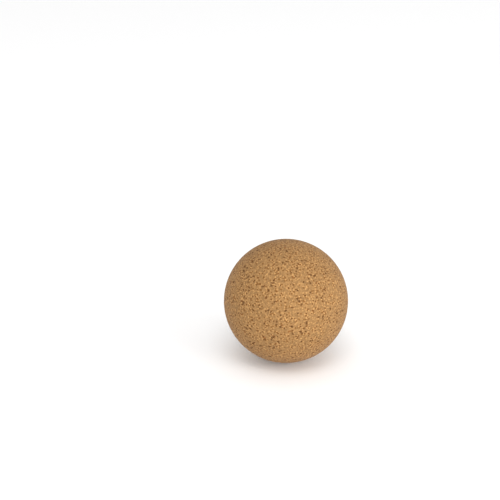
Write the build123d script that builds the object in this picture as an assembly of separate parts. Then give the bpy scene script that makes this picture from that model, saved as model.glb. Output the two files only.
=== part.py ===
from build123d import *

import math
import os
import random

# A massage ball of agglomerated cork. Sizes are in millimetres, +Z is up, and the origin is the
# ball's centre. The ball is one moulded and turned sphere with nothing inside and nothing that
# moves. What it is made of are cork granules held by a binder: a matrix of fine granules, and
# coarser granules of bark and of paler and darker cork that lie in it and are turned flush.

BALL_DIAMETER = 65.0
BALL_RADIUS = BALL_DIAMETER / 2

# Coarse granules lie near evenly spread places on the ball, each shifted a little at random.
PLACES = 420
PLACE_SHIFT = 1.4
GOLDEN_ANGLE = math.pi * (3 - math.sqrt(5))
SEED = 29

# No granule crosses the closed surface's own seam, the half circle from pole to pole through +X,
# so every granule keeps a single outer face.
SEAM_MARGIN = 1.8

# Each kind of coarse granule: its share of the places, and the ranges of its length, of its
# width as a share of the length, and of the depth of its flat floor under the ball's surface.
GRANULE_KINDS = {
    "bark_flecks": {"share": 0.20, "length": (1.2, 1.9), "aspect": (0.45, 0.65), "depth": (0.6, 0.9)},
    "bark_specks": {"share": 0.30, "length": (0.8, 1.1), "aspect": (0.75, 1.00), "depth": (0.5, 0.7)},
    "amber_granules": {"share": 0.26, "length": (1.1, 1.7), "aspect": (0.65, 0.95), "depth": (0.6, 0.9)},
    "pale_granules": {"share": 0.24, "length": (1.1, 1.7), "aspect": (0.60, 0.95), "depth": (0.6, 0.9)},
}
CORNERS = (5, 7)
CORNER_UNEVENNESS = 0.28
CUT_ABOVE_SURFACE = 0.5


def even_place(index):
    """Direction of one of the evenly spread places, along a spiral from pole to pole."""
    height = 1 - (2 * index + 1) / PLACES
    ring = math.sqrt(1 - height * height)
    turn = index * GOLDEN_ANGLE
    return Vector(ring * math.cos(turn), ring * math.sin(turn), height)


def tangent_plane(direction, spin):
    """Plane that touches the ball in this direction, its x axis at the angle spin from east."""
    east = Vector(0, 0, 1).cross(direction).normalized()
    north = direction.cross(east)
    x_dir = east * math.cos(spin) + north * math.sin(spin)
    return Plane(origin=direction * BALL_RADIUS, x_dir=x_dir, z_dir=direction)


def shifted_place(index, rng):
    """Direction of a granule: its even place, moved along the surface by up to PLACE_SHIFT."""
    plane = tangent_plane(even_place(index), rng.uniform(0, 2 * math.pi))
    moved = plane.from_local_coords(Vector(rng.uniform(0, PLACE_SHIFT), 0, 0))
    return moved.normalized()


def clear_of_seam(direction):
    """True where a granule in this direction stays off the seam and both poles."""
    point = direction * BALL_RADIUS
    from_axis = math.hypot(point.X, point.Y)
    beside_seam = point.X > 0 and abs(point.Y) < SEAM_MARGIN
    return from_axis > SEAM_MARGIN and not beside_seam


def granule_outline(rng, length, width):
    """Irregular convex outline of a crushed granule, its corners on an ellipse."""
    corners = rng.randint(*CORNERS)
    step = 2 * math.pi / corners
    points = []
    for corner in range(corners):
        angle = step * (corner + rng.uniform(-CORNER_UNEVENNESS, CORNER_UNEVENNESS))
        points.append((length / 2 * math.cos(angle), width / 2 * math.sin(angle)))
    return Polyline(*points, close=True)


def granule_blank(direction, kind, rng):
    """Prism that is the granule's seat: a flat floor under the surface, its walls straight out."""
    length = rng.uniform(*kind["length"])
    width = length * rng.uniform(*kind["aspect"])
    depth = rng.uniform(*kind["depth"])
    plane = tangent_plane(direction, rng.uniform(0, 2 * math.pi))
    floor = plane.offset(-depth) * make_face(granule_outline(rng, length, width))
    return extrude(floor, amount=depth + CUT_ABOVE_SURFACE, dir=direction)


def kinds_in_random_order(rng):
    """Name of the kind at each place: the kinds' shares of the places, shuffled."""
    names = []
    for name, kind in GRANULE_KINDS.items():
        names += [name] * round(kind["share"] * PLACES)
    rng.shuffle(names)
    return names


def make_blanks():
    """Seat prisms of all coarse granules, listed by kind."""
    rng = random.Random(SEED)
    blanks = {name: [] for name in GRANULE_KINDS}
    for index, name in enumerate(kinds_in_random_order(rng)):
        direction = shifted_place(index, rng)
        blank = granule_blank(direction, GRANULE_KINDS[name], rng)
        if clear_of_seam(direction):
            blanks[name].append(blank)
    return blanks


def make_matrix(ball, blanks):
    """The ball's matrix of fine granules and binder, with a seat for each coarse granule."""
    seats = [blank for group in blanks.values() for blank in group]
    return ball - seats


def make_granules(ball, group):
    """Coarse granules of one kind: each fills its seat and is turned flush with the ball."""
    granules = [(blank & ball).solid() for blank in group]
    return Compound(granules)


def main():
    os.makedirs("parts", exist_ok=True)
    ball = Sphere(BALL_RADIUS)
    blanks = make_blanks()
    export_step(make_matrix(ball, blanks), "parts/cork_matrix.step")
    for name, group in blanks.items():
        export_step(make_granules(ball, group), f"parts/{name}.step")


main()
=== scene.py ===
import math

import bmesh
import bpy
import numpy as np
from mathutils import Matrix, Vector, geometry


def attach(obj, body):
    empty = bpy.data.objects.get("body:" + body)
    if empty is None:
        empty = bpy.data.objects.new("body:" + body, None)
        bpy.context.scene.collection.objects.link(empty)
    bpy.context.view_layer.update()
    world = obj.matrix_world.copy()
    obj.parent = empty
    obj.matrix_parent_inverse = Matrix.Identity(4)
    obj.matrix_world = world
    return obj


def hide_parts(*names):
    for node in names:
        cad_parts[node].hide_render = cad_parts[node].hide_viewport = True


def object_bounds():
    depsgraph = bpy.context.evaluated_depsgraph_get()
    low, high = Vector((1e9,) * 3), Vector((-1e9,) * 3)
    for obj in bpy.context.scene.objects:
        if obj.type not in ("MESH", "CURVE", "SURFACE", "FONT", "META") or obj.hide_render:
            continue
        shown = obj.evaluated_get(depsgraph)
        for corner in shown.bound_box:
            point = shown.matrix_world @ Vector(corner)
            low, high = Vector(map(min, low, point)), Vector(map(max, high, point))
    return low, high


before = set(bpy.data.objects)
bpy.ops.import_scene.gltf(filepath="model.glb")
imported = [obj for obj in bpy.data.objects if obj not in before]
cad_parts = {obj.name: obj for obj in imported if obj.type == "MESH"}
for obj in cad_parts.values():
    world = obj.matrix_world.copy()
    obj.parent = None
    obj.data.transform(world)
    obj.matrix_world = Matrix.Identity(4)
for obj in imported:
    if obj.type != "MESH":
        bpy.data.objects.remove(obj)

# A massage ball of agglomerated cork. The visible ball is one closed skin of fine cork granules,
# each a low facet with a groove round it that is darkened by binder and painted shade, some of them
# missing so that they leave a pit, darkened all over by painted shade.
# Coarse granules of bark and of darker and paler cork are separate closed pieces, which sit in
# pockets of the skin at the places and with the outlines that the CAD nodes give them.

cad_low, cad_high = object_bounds()
MM = 0.001
RADIUS = (cad_high - cad_low).x / 2
SEED = 41
rng = np.random.default_rng(SEED)

# Seats in the CAD nodes. A floor's normal points back along the seat's outward direction.
WELD = 0.001 * MM
FLOOR_FACING = -0.95

# Seeds of the fine granules. SPACING is the mean distance between them on a ball of radius 1.
FINE_GRANULES = 27500
SPACING = math.sqrt(4 * math.pi / FINE_GRANULES)
SEED_SHIFT = 0.46  # of the spacing
LOST_SEEDS = 0.12  # share of the seeds that is left out, so that their neighbours are larger
SEAT_CLEARANCE = 1.02  # from a seat's corners, as a share of the way from them to its own seed
MIRROR_CLEARANCE = 0.55  # of the spacing, round the seeds beside a seat
TOP_CLEARANCE = 0.5  # of the spacing, round the topmost seed
SEARCH_BLOCKS = 40  # the seeds are searched in blocks, to save memory

# Skin over the fine granules.
GROOVE_DEPTH = (0.03 * MM, 0.09 * MM)
FACET_SINK = (0.0, 0.02 * MM)
RIM_SHARE = 0.12  # share of the granules that stand out with a crisp rim
RIM_INSET = 0.05 * MM
RIM_DROP = 0.008 * MM  # from a facet's middle to its rim
PIT_SHARE = 0.020
PIT_DEPTH = (0.22 * MM, 0.42 * MM)
PIT_INSET = 0.12 * MM
PIT_HOLLOW = 0.05 * MM  # from the edge of a pit's floor to its middle
GROOVE_BINDER_AND_SHADE = (0.15, 0.55)  # dark binder and painted shade in the grooves, where a pit has 1: painted shade over the whole pit
MIXING = 0.75  # 0: tints lie at random, 1: light and dark granules lie as mixed as they can

# How a cell's corners move into the cell.
SHARPEST_CORNER = 0.04  # least value that is used for the sine squared of half a corner's angle
PULL_TO_MIDDLE = 0.2  # turns each corner's way in towards the cell's middle
LONGEST_WAY_IN = 0.45  # of the way to the cell's middle

# A cube side's half width on the texture map, as a share of the sixth that it has there.
MAP_HALF_WIDTH = 0.47

# Coarse granules.
GLUE_LINE = 0.012 * MM
CHIP = 0.025 * MM
CHIP_SPACING = 0.28 * MM
PROUD = (0.0, 0.02 * MM)
UNEVENNESS = 0.012 * MM
BEVEL = 0.07 * MM
WIDEST_BEVEL = 0.25  # of the way from a granule's side to its middle
TOP_RINGS = (0.28, 0.55, 0.8)  # of the way from the bevel to the granule's middle
FLOOR_SHARE = 0.96  # of the outline, as the seat's walls lean in towards the ball's centre
FLOOR_GAP = 0.01 * MM

# Rings of a coarse granule's bevel: the share of the bevel that each lies in from the side, and
# its height over the ball's surface.
BEVEL_RINGS = ((0.0, -0.07 * MM), (0.30, -0.03 * MM), (1.0, -0.004 * MM))

SHARP_ANGLE = math.radians(28)  # edges that turn by more than this look sharp


# ---------------------------------------------------------------- seats from the CAD nodes

def islands(bm):
    """The faces of each separate solid in a welded mesh."""
    reached = set()
    found = []
    for face in bm.faces:
        if face in reached:
            continue
        reached.add(face)
        island = [face]
        for member in island:  # the list grows on the way
            for edge in member.edges:
                for other in edge.link_faces:
                    if other not in reached:
                        reached.add(other)
                        island.append(other)
        found.append(island)
    return found


def places(faces):
    """The points of some faces, each once, as an array."""
    points = {v.index: v.co[:] for f in faces for v in f.verts}
    return np.array([points[index] for index in sorted(points)])


def unit(vectors):
    """Vectors scaled to length one."""
    return vectors / np.linalg.norm(vectors, axis=-1, keepdims=True)


class Seat:
    """Pocket of one coarse granule: its axis, the floor's distance from the ball's centre, and
    the outline's corners, counter-clockwise as seen from outside."""

    def __init__(self, faces):
        outward = Vector(unit(places(faces).mean(0)))
        floor = [f for f in faces if outward.dot(f.normal) < FLOOR_FACING]
        self.axis = -unit(sum(np.array(f.normal) * f.calc_area() for f in floor))
        self.east = unit(np.cross((0, 0, 1), self.axis))
        self.north = np.cross(self.axis, self.east)
        floor_points = places(floor)
        self.floor = float((floor_points @ self.axis).mean())
        flat = floor_points @ np.array([self.east, self.north]).T
        self.outline = flat[geometry.convex_hull_2d([tuple(p) for p in flat])]

    def on_ball(self, flat):
        """Points on the ball above points of the outline's plane."""
        height = np.sqrt(RADIUS**2 - (flat**2).sum(-1))
        return self.in_space(flat, height)

    def in_space(self, flat, height):
        """Points at a height above the ball's centre, along the seat's axis."""
        return flat @ np.array([self.east, self.north]) + np.multiply.outer(height, self.axis)


def seats_of(node):
    """The seats of a CAD node's granules."""
    bm = bmesh.new()
    bm.from_mesh(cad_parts[node].data)
    bmesh.ops.remove_doubles(bm, verts=bm.verts, dist=WELD)
    bm.verts.index_update()
    seats = [Seat(faces) for faces in islands(bm)]
    bm.free()
    return seats


# ---------------------------------------------------------------- seeds of the fine granules

def loose_seeds():
    """Seeds spread evenly over the ball on a spiral, then shifted at random, some left out."""
    index = np.arange(FINE_GRANULES)
    height = 1 - (2 * index + 1) / FINE_GRANULES
    turn = index * math.pi * (3 - math.sqrt(5))
    ring = np.sqrt(1 - height**2)
    even = np.stack([ring * np.cos(turn), ring * np.sin(turn), height], -1)
    seeds = unit(even + rng.uniform(-SEED_SHIFT, SEED_SHIFT, even.shape) * SPACING)
    return seeds[rng.random(len(seeds)) > LOST_SEEDS]


def seat_seeds(seat):
    """The seat's own seed, and its mirror image over each side, which give it a cell with
    exactly the seat's outline. Also the outline's corners."""
    corners = unit(seat.on_ball(seat.outline))
    own = unit(corners.mean(0))
    side_normals = unit(np.cross(corners, np.roll(corners, -1, axis=0)))
    mirrored = own - 2 * (side_normals @ own)[:, None] * side_normals
    return own, mirrored, corners


def fine_seeds(seats):
    """Seeds of all granules: those of the seats first, one each, then the fine ones, of which
    the last is the top of the ball."""
    loose = loose_seeds()
    owns = []
    mirrors = []
    for seat in seats:
        own, mirrored, corners = seat_seeds(seat)
        reach = np.linalg.norm(corners - own, axis=1) * SEAT_CLEARANCE
        near = np.linalg.norm(loose[:, None] - corners, axis=2) < reach
        loose = loose[~near.any(1)]
        owns.append(own)
        mirrors.append(mirrored)
    mirrors = np.concatenate(mirrors)
    kept = []
    for block in np.array_split(loose, SEARCH_BLOCKS):
        distance = np.linalg.norm(block[:, None] - mirrors, axis=2).min(1)
        kept.append(block[distance > MIRROR_CLEARANCE * SPACING])
    kept = np.concatenate(kept)
    kept = kept[kept[:, 2] < 1 - (TOP_CLEARANCE * SPACING) ** 2 / 2]
    top = np.array([[0.0, 0.0, 1.0]])
    return np.concatenate([np.array(owns), mirrors, kept, top])


# ---------------------------------------------------------------- cells round the seeds

def spherical_triangles(seeds):
    """Delaunay triangles of seeds on a sphere, the last seed being the top of the sphere:
    the others are projected from it to a plane, and it joins the plane's outer edges."""
    flat = seeds[:-1, :2] / (1 - seeds[:-1, 2:])
    made = geometry.delaunay_2d_cdt([Vector(p) for p in flat], [], [], 0, 0.0, False)
    triangles = np.array(made[2])[:, ::-1]
    sides = np.concatenate([triangles[:, [0, 1]], triangles[:, [1, 2]], triangles[:, [2, 0]]])
    outer = set(map(tuple, sides)) - set(map(tuple, sides[:, ::-1]))
    cap = [(b, a, len(seeds) - 1) for a, b in sorted(outer)]
    return np.concatenate([triangles, np.array(cap)])


class Cells:
    """The cell of each seed: its corners are the centres of the triangles round the seed.
    Corners are listed cell by cell, counter-clockwise as seen from outside."""

    def __init__(self, seeds, triangles):
        a, b, c = (seeds[triangles[:, k]] for k in range(3))
        self.directions = unit(np.cross(b - a, c - a))
        seed = triangles.ravel()
        corner = np.repeat(np.arange(len(triangles)), 3)
        first = np.zeros(len(seeds), int)
        first[seed] = corner
        zero = unit(self.across(self.directions[first], seeds))
        quarter = np.cross(seeds, zero)
        spoke = self.directions[corner]
        angle = np.arctan2((spoke * quarter[seed]).sum(1), (spoke * zero[seed]).sum(1))
        order = np.lexsort((angle, seed))
        self.seed = seed[order]
        self.corner = corner[order]
        count = np.bincount(self.seed)
        start = np.concatenate([[0], np.cumsum(count)[:-1]])
        index = np.arange(len(order))
        last = index == (start + count - 1)[self.seed]
        self.next = np.where(last, start[self.seed], index + 1)
        self.previous = np.empty_like(self.next)
        self.previous[self.next] = index
        middle = np.zeros_like(seeds)
        np.add.at(middle, self.seed, self.directions[self.corner])
        self.middle = unit(middle)

    @staticmethod
    def across(directions, seeds):
        """The part of each direction that lies across its seed's direction."""
        return directions - (directions * seeds).sum(1, keepdims=True) * seeds


def inset_corners(cells, inset):
    """Unit directions of each cell's corners, moved into the cell so that its sides move in by
    inset (a share of the ball's radius), as far as the cell has room."""
    here = cells.directions[cells.corner]
    back = unit(here[cells.previous] - here)
    ahead = unit(here[cells.next] - here)
    half_angle_sine = np.sqrt(np.clip((1 - (back * ahead).sum(1)) / 2, SHARPEST_CORNER, 1))
    to_middle = cells.middle[cells.seed] - here
    room = np.linalg.norm(to_middle, axis=1)
    way_in = unit(back + ahead + PULL_TO_MIDDLE * unit(to_middle))
    step = np.minimum(inset / half_angle_sine, LONGEST_WAY_IN * room)
    return unit(here + way_in * step[:, None])


# ---------------------------------------------------------------- the skin of fine granules

def skin_profile(seat_count, cell_count):
    """For each cell: how far its rim and its middle lie from the ball's centre, how far its rim
    lies in from its sides, and whether it has a rim at all and is a pit."""
    middle = RADIUS - rng.uniform(*FACET_SINK, cell_count)
    rim = middle - RIM_DROP
    inset = np.full(cell_count, RIM_INSET)
    dice = rng.random(cell_count)
    dice[:seat_count] = 1
    pits = dice < PIT_SHARE
    rim[pits] = RADIUS - rng.uniform(*PIT_DEPTH, pits.sum())
    middle[pits] = rim[pits] - PIT_HOLLOW
    inset[pits] = PIT_INSET
    rimmed = dice < PIT_SHARE + RIM_SHARE
    rimmed[:seat_count] = True
    return rim, middle, inset, rimmed, pits


def well_mixed(values, triangles):
    """The values in a new order, in which neighbours differ more than they would by chance."""
    around = np.zeros_like(values)
    count = np.zeros_like(values)
    for a, b in ((0, 1), (1, 2), (2, 0)):
        np.add.at(around, triangles[:, a], values[triangles[:, b]])
        np.add.at(count, triangles[:, a], 1)
    rank = (values - MIXING * around / count).argsort().argsort()
    return np.sort(values)[rank]


def seat_floor(seat, directions):
    """Points of a seat's flat floor in these directions from the ball's centre."""
    return directions * (seat.floor / (directions @ seat.axis))[..., None]


def cube_side(directions):
    """Number of the side, of a cube round the ball, that each direction meets."""
    axis = np.abs(directions).argmax(1)
    return 2 * axis + (np.take_along_axis(directions, axis[:, None], 1)[:, 0] < 0)


def map_places(sides, directions):
    """Places of directions in the skin's texture map, which has a sixth for each cube side. A
    cell's corners all take its own side, so no granule is cut where two sides meet."""
    axis, column, row = sides // 2, sides % 3, sides // 3
    turned = np.take_along_axis(directions, (axis[:, None] + np.arange(3)) % 3, 1)
    turned[:, :2] *= (1 - 2 * (sides % 2))[:, None]
    angle = np.arctan2(turned[:, 1:], turned[:, :1]) / (math.pi / 4)
    return (np.stack([column, row], -1) + 0.5 + MAP_HALF_WIDTH * angle) / (3, 2)


def skin_faces(cells, has_ring):
    """Faces of the skin, whose points are the cells' corners, the rim points of the cells that
    have a rim, and the cells' middles: a fan of triangles in each cell, inside its rim if it has
    one, and four-sided faces between the rim and the cell's sides."""
    groove_points = len(cells.directions)
    ring_place = groove_points + np.cumsum(has_ring) - 1
    middle_place = groove_points + has_ring.sum() + cells.seed
    edge = np.where(has_ring, ring_place, cells.corner)
    fan = np.stack([edge, edge[cells.next], middle_place], -1)
    bevel = np.stack([cells.corner, cells.corner[cells.next], edge[cells.next], edge], -1)
    return fan, bevel[has_ring]


def make_skin(seats):
    """The closed skin: a low facet for each fine granule, some of them with a crisp rim, pits
    where one is missing, and an open pocket at each seat."""
    seeds = fine_seeds(seats)
    triangles = spherical_triangles(seeds)
    cells = Cells(seeds, triangles)
    rim, middle, inset, rimmed, pits = skin_profile(len(seats), len(seeds))
    depth = rng.uniform(*GROOVE_DEPTH, len(cells.directions))
    groove = cells.directions * (RADIUS - depth)[:, None]
    centre = cells.middle * middle[:, None]
    rim_directions = inset_corners(cells, inset[cells.seed] / RADIUS)
    ring = rim_directions * rim[cells.seed][:, None]
    for number, seat in enumerate(seats):
        mine = cells.seed == number
        ring[mine] = seat_floor(seat, cells.directions[cells.corner[mine]])
        centre[number] = seat_floor(seat, cells.middle[number])

    has_ring = rimmed[cells.seed]
    fan, bevel = skin_faces(cells, has_ring)
    points = np.concatenate([groove, ring[has_ring], centre])
    mesh = bpy.data.meshes.new("cork_skin")
    mesh.from_pydata(points.tolist(), [], fan.tolist() + bevel.tolist())

    spread = np.concatenate([cells.directions, rim_directions[has_ring], cells.middle])
    side = cube_side(seeds)[cells.seed]
    sides = np.concatenate([np.repeat(side, 3), np.repeat(side[has_ring], 4)])
    corners = np.concatenate([fan.ravel(), bevel.ravel()])
    layer = mesh.uv_layers.new(name="OFBake")
    layer.data.foreach_set("uv", map_places(sides, spread[corners]).astype(np.float32).ravel())

    tint = well_mixed(rng.random(len(seeds)), triangles)[cells.seed]
    set_values(mesh, "granule_tint", "FACE", np.concatenate([tint, tint[has_ring]]))
    in_pit = pits[cells.seed]
    # Dark binder and painted shade at the groove corners, and painted shade over all of each pit.
    binder_and_shade = rng.uniform(*GROOVE_BINDER_AND_SHADE, len(groove))
    binder_and_shade[cells.corner[in_pit]] = 1
    set_values(mesh, "binder_and_painted_shade", "POINT", np.concatenate([binder_and_shade, in_pit[has_ring], pits]))
    return finished(mesh, "cork_matrix_skin", "cork")


# ---------------------------------------------------------------- coarse granules

def outline_points(seat):
    """The middle of a seat's outline, and points round its coarse granule, a little inside the
    outline, with small chips off its sides."""
    points = []
    corners = seat.outline
    for a, b in zip(corners, np.roll(corners, -1, axis=0)):
        steps = max(2, round(float(np.linalg.norm(b - a)) / CHIP_SPACING))
        points += [a + (b - a) * step / steps for step in range(steps)]
    points = np.array(points)
    middle = corners.mean(0)
    reach = np.linalg.norm(points - middle, axis=1)
    chipped = GLUE_LINE + rng.uniform(0, CHIP, len(points))
    return middle, middle + (points - middle) * (1 - chipped / reach)[:, None]


def granule_rings(seat, proud):
    """One closed granule: the middle of its floor, the rings of points from there up its sides
    and over its top, and the middle of its top."""
    middle, outline = outline_points(seat)
    reach = np.linalg.norm(outline - middle, axis=1).mean()
    bevel = min(BEVEL, WIDEST_BEVEL * reach)
    floor = seat.floor + FLOOR_GAP
    rings = []
    for share in (FLOOR_SHARE / 2, FLOOR_SHARE):
        flat = middle + (outline - middle) * share
        rings.append(seat.in_space(flat, np.full(len(flat), floor)))
    profile = list(BEVEL_RINGS)
    profile += [(1.0 + share * (reach / bevel - 1.0), proud) for share in TOP_RINGS]
    for bevels_in, height in profile:
        flat = middle + (outline - middle) * (1 - bevels_in * bevel / reach)
        uneven = rng.uniform(-UNEVENNESS, UNEVENNESS, len(flat)) * (bevels_in >= 1)
        rings.append(seat.on_ball(flat) * (1 + (height + uneven) / RADIUS)[:, None])
    low = seat.in_space(middle, np.array(floor))
    high = seat.on_ball(middle[None])[0] * (1 + proud / RADIUS)
    return low, rings, high


def ring_faces(first, around, ring_count):
    """Faces of a closed piece whose points, from number first on, are a bottom point, rings of
    so many points around, and a top point."""
    top = first + 1 + around * ring_count
    faces = []
    for k in range(around):
        after = (k + 1) % around
        faces.append((first, first + 1 + after, first + 1 + k))
        for level in range(ring_count - 1):
            here = first + 1 + level * around
            above = here + around
            faces.append((here + k, here + after, above + after, above + k))
        faces.append((top - around + k, top - around + after, top))
    return faces


def make_granules(seats, material, name):
    """All coarse granules of one kind, as a group of separate closed pieces."""
    points = []
    faces = []
    tints = []
    for seat in seats:
        low, rings, high = granule_rings(seat, rng.uniform(*PROUD))
        made = ring_faces(len(points), len(rings[0]), len(rings))
        points += [low, *np.concatenate(rings), high]
        faces += made
        tints += [rng.random()] * len(made)
    mesh = bpy.data.meshes.new(name)
    mesh.from_pydata([tuple(p) for p in points], [], faces)
    set_values(mesh, "granule_tint", "FACE", np.array(tints))
    return finished(mesh, name, material)


# ---------------------------------------------------------------- mesh helpers

def set_values(mesh, name, domain, values):
    """Stores one number for each face or point of a mesh."""
    attribute = mesh.attributes.new(name, "FLOAT", domain)
    attribute.data.foreach_set("value", values.astype(np.float32))


def finished(mesh, name, material):
    """The mesh as an object with its material, smooth but for its sharp edges."""
    mesh.materials.append(MATERIALS[material])
    mesh.shade_smooth()
    mesh.set_sharp_from_angle(angle=SHARP_ANGLE)
    piece = bpy.data.objects.new(name, mesh)
    bpy.context.scene.collection.objects.link(piece)
    return piece


# ---------------------------------------------------------------- materials

class Nodes:
    """Short names for building a material's node tree."""

    def __init__(self, name):
        self.material = bpy.data.materials.new(name)
        self.material.use_nodes = True
        self.tree = self.material.node_tree
        self.shader = self.tree.nodes["Principled BSDF"]
        self.place = self.add("ShaderNodeTexCoord").outputs["Object"]

    def add(self, kind, **settings):
        node = self.tree.nodes.new(kind)
        for key, value in settings.items():
            setattr(node, key, value)
        return node

    def join(self, source, socket):
        """Links a socket to a source, or sets it where the source is a plain value."""
        if isinstance(source, (int, float, tuple)):
            socket.default_value = source
        else:
            self.tree.links.new(source, socket)

    def attribute(self, name):
        return self.add("ShaderNodeAttribute", attribute_name=name).outputs["Fac"]

    def noise(self, size, detail=2.0, roughness=0.5):
        """Noise whose blobs are about this size in metres."""
        node = self.add("ShaderNodeTexNoise")
        self.join(self.place, node.inputs["Vector"])
        self.join(1 / size, node.inputs["Scale"])
        self.join(detail, node.inputs["Detail"])
        self.join(roughness, node.inputs["Roughness"])
        return node.outputs["Fac"]

    def spread(self, noise, low, high):
        """Noise, nearly all of which lies in NOISE_RANGE, made to run from low to high."""
        node = self.add("ShaderNodeMapRange")
        self.join(noise, node.inputs["Value"])
        self.join(NOISE_RANGE[0], node.inputs["From Min"])
        self.join(NOISE_RANGE[1], node.inputs["From Max"])
        self.join(low, node.inputs["To Min"])
        self.join(high, node.inputs["To Max"])
        return node.outputs["Result"]

    def ramp(self, factor, stops):
        """Colour that depends on a factor, from stops of position and colour."""
        node = self.add("ShaderNodeValToRGB")
        elements = node.color_ramp.elements
        while len(elements) < len(stops):
            elements.new(0.5)
        for element, (position, colour) in zip(elements, stops):
            element.position = position
            element.color = (*colour, 1)
        self.join(factor, node.inputs["Fac"])
        return node.outputs["Color"]

    def towards(self, factor, source, colour):
        """A colour source, mixed by a factor with one plain colour."""
        node = self.add("ShaderNodeMix", data_type="RGBA")
        factor_input, source_input, colour_input = (node.inputs[k] for k in (0, 6, 7))
        self.join(factor, factor_input)
        self.join(source, source_input)
        self.join((*colour, 1), colour_input)
        return node.outputs[2]

    def scaled(self, colour, factor):
        node = self.add("ShaderNodeVectorMath", operation="SCALE")
        self.join(colour, node.inputs[0])
        self.join(factor, node.inputs["Scale"])
        return node.outputs[0]

    def product(self, a, b):
        node = self.add("ShaderNodeMath", operation="MULTIPLY")
        self.join(a, node.inputs[0])
        self.join(b, node.inputs[1])
        return node.outputs[0]

    def bump(self, height, distance, strength, under=None):
        """Bump of a height, over another bump if one is given."""
        node = self.add("ShaderNodeBump")
        self.join(distance, node.inputs["Distance"])
        self.join(strength, node.inputs["Strength"])
        self.join(height, node.inputs["Height"])
        if under is not None:
            self.join(under, node.inputs["Normal"])
        return node.outputs["Normal"]


def shade(colour, factor):
    """A colour made lighter or darker."""
    return tuple(c * factor for c in colour)


def between(colour, darkest, palest):
    """Stops of a ramp from one shade of a colour to another."""
    return [(0.0, shade(colour, darkest)), (1.0, shade(colour, palest))]


TAN = (0.316, 0.172, 0.063)
BARK = (0.126, 0.050, 0.012)
RUST = (0.210, 0.095, 0.025)
# Dark colour of the binder and of the painted shade in grooves and pits, and the most of it that is
# mixed in.
BINDER_AND_SHADE_COLOUR = shade(BARK, 0.9)
STRONGEST_BINDER_AND_SHADE = 0.80

NOISE_RANGE = (0.3, 0.7)

# Sizes of the blobs of noise in the cork.
DRIFT_SIZE = 14 * MM
POLISH_SIZE = 0.5 * MM
MOTTLE_SIZE = 0.35 * MM
DENT_SIZE = 0.30 * MM
CELL_SIZE = 0.10 * MM
GRAIN_SIZE = 0.09 * MM

DENT_DEPTH = 0.030 * MM
GRAIN_DEPTH = 0.012 * MM
ROUGHNESS_SWING = 0.06
FINISH = {"Specular IOR Level": 0.20, "Sheen Weight": 0.04, "Sheen Roughness": 0.5}

# Tints of the fine granules, by their share: a few of bark, some of rusty cork, then tan ones,
# with a pale last seventh.
FINE_TINTS = [
    (0.0, shade(BARK, 0.9)),
    (0.045, shade(BARK, 1.5)),
    (0.055, shade(RUST, 0.90)),
    (0.14, shade(RUST, 1.05)),
    (0.16, shade(TAN, 0.80)),
    (0.50, shade(TAN, 1.01)),
    (0.84, shade(TAN, 1.20)),
    (0.86, shade(TAN, 1.34)),
    (1.0, shade(TAN, 1.54)),
]


def cork(name, tints, roughness):
    """Cork: each granule has its own tint, with cells and streaks in it, and dark binder and
    painted shade in the grooves and pits.
    """
    n = Nodes(name)
    tint = n.ramp(n.attribute("granule_tint"), tints)
    mottle = n.spread(n.noise(MOTTLE_SIZE, detail=3.0, roughness=0.6), 0.80, 1.18)
    cells = n.spread(n.noise(CELL_SIZE), 0.90, 1.10)
    drift = n.spread(n.noise(DRIFT_SIZE, detail=1.0), 0.97, 1.03)
    light = n.product(n.product(mottle, cells), drift)
    # Painted shade, with dark binder, in the grooves and pits: the base colour is mixed towards a
    # dark colour.
    binder_and_painted_shade = n.product(n.attribute("binder_and_painted_shade"), STRONGEST_BINDER_AND_SHADE)
    n.join(n.towards(binder_and_painted_shade, n.scaled(tint, light), BINDER_AND_SHADE_COLOUR), n.shader.inputs["Base Color"])
    rough = n.spread(n.noise(POLISH_SIZE), roughness - ROUGHNESS_SWING, roughness + ROUGHNESS_SWING)
    n.join(rough, n.shader.inputs["Roughness"])
    grain = n.bump(n.noise(GRAIN_SIZE), GRAIN_DEPTH, 0.8)
    dents = n.bump(n.noise(DENT_SIZE, detail=3.0), DENT_DEPTH, 0.7, under=grain)
    n.join(dents, n.shader.inputs["Normal"])
    for socket, value in FINISH.items():
        n.shader.inputs[socket].default_value = value
    return n.material


MATERIALS = {
    "cork": cork("cork_fine", FINE_TINTS, roughness=0.84),
    "bark": cork("cork_bark", between(BARK, 1.0, 1.9), roughness=0.80),
    "amber_cork": cork("cork_amber", between(TAN, 0.68, 0.90), roughness=0.82),
    "pale_cork": cork("cork_pale", between(TAN, 1.14, 1.42), roughness=0.84),
}


# ---------------------------------------------------------------- the ball

# The CAD node of each kind of coarse granule, with its material slot and its piece's name.
KINDS = {
    "bark_flecks": ("bark", "coarse_bark_flecks"),
    "bark_specks": ("bark", "coarse_bark_specks"),
    "amber_granules": ("amber_cork", "coarse_amber_granules"),
    "pale_granules": ("pale_cork", "coarse_pale_granules"),
}


def make_ball():
    """The skin and the coarse granules, each in place of its CAD node."""
    seats = {node: seats_of(node) for node in KINDS}
    skin = make_skin([seat for group in seats.values() for seat in group])
    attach(skin, "root")
    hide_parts("cork_matrix")
    for node, (slot, name) in KINDS.items():
        piece = make_granules(seats[node], slot, name)
        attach(piece, "root")
        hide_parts(node)


make_ball()


# ---------------------------------------------------------------- floor, light and camera

FLOOR_REACH = 3.0  # from its middle to its sides
FLOOR_WHITE = (0.92, 0.92, 0.92, 1)
FLOOR_ROUGHNESS = 0.7

WORLD_STRENGTH = 0.85
SOFTBOX_SIDE = 1.0
SOFTBOX_DISTANCE = 2.0

# Azimuth, elevation and watts. Azimuth 0 is the camera's side, and 90 is its right.
SOFTBOXES = {
    "front_low": (0, 15, 17),
    "front_high": (0, 60, 10),
    "right": (55, 15, 20),
}

LENS_MM = 150
SENSOR_MM = 36
NEAREST_SEEN = 0.01
CAMERA_ELEVATION = math.radians(23.7)
CAMERA_DISTANCE = 33.55 * RADIUS
AIM_LEFT = 0.585 * RADIUS
AIM_ABOVE = 0.814 * RADIUS


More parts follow.
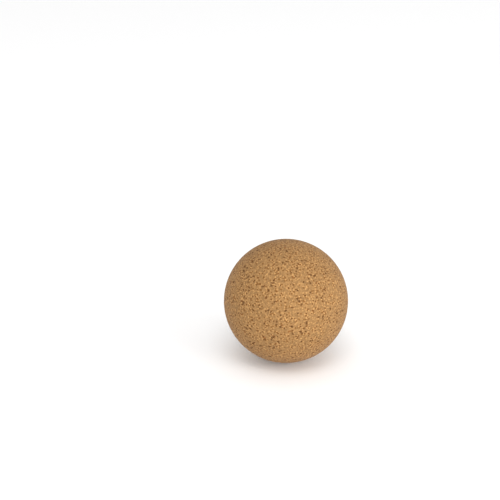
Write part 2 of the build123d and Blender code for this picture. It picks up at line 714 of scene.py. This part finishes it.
def make_floor():
    """White floor that the ball stands on."""
    bm = bmesh.new()
    bmesh.ops.create_grid(bm, x_segments=2, y_segments=2, size=FLOOR_REACH)
    mesh = bpy.data.meshes.new("floor")
    bm.to_mesh(mesh)
    bm.free()
    floor = bpy.data.objects.new("floor", mesh)
    floor.location.z = cad_low.z
    bpy.context.scene.collection.objects.link(floor)
    material = bpy.data.materials.new("floor_white")
    material.use_nodes = True
    shader = material.node_tree.nodes["Principled BSDF"]
    shader.inputs["Base Color"].default_value = FLOOR_WHITE
    shader.inputs["Roughness"].default_value = FLOOR_ROUGHNESS
    mesh.materials.append(material)


def softbox(name, azimuth, elevation, power):
    """Square softbox that faces the ball."""
    a = math.radians(azimuth)
    e = math.radians(elevation)
    light = bpy.data.lights.new(name, "AREA")
    light.size = SOFTBOX_SIDE
    light.energy = power
    holder = bpy.data.objects.new(name, light)
    away = Vector((math.sin(a) * math.cos(e), -math.cos(a) * math.cos(e), math.sin(e)))
    holder.location = away * SOFTBOX_DISTANCE
    holder.rotation_euler = away.to_track_quat("Z", "Y").to_euler()
    holder.visible_camera = False
    bpy.context.scene.collection.objects.link(holder)


def make_light():
    """White surroundings and three softboxes."""
    world = bpy.data.worlds.new("studio")
    world.use_nodes = True
    background = world.node_tree.nodes["Background"]
    background.inputs["Color"].default_value = (1, 1, 1, 1)
    background.inputs["Strength"].default_value = WORLD_STRENGTH
    bpy.context.scene.world = world
    for name, (azimuth, elevation, power) in SOFTBOXES.items():
        softbox(name, azimuth, elevation, power)
    bpy.context.scene.view_settings.view_transform = "Standard"


def make_camera():
    """Product shot with a long lens: the ball lies right of and below the view's middle."""
    data = bpy.data.cameras.new("camera")
    data.lens = LENS_MM
    data.sensor_width = SENSOR_MM
    data.clip_start = NEAREST_SEEN
    camera = bpy.data.objects.new("camera", data)
    bpy.context.scene.collection.objects.link(camera)
    back = Vector((0, -math.cos(CAMERA_ELEVATION), math.sin(CAMERA_ELEVATION)))
    up = Vector((0, math.sin(CAMERA_ELEVATION), math.cos(CAMERA_ELEVATION)))
    camera.location = back * CAMERA_DISTANCE
    target = Vector((-AIM_LEFT, 0, 0)) + up * AIM_ABOVE
    camera.rotation_mode = "QUATERNION"
    camera.rotation_quaternion = (camera.location - target).to_track_quat("Z", "Y")
    bpy.context.scene.camera = camera


make_floor()
make_light()
make_camera()
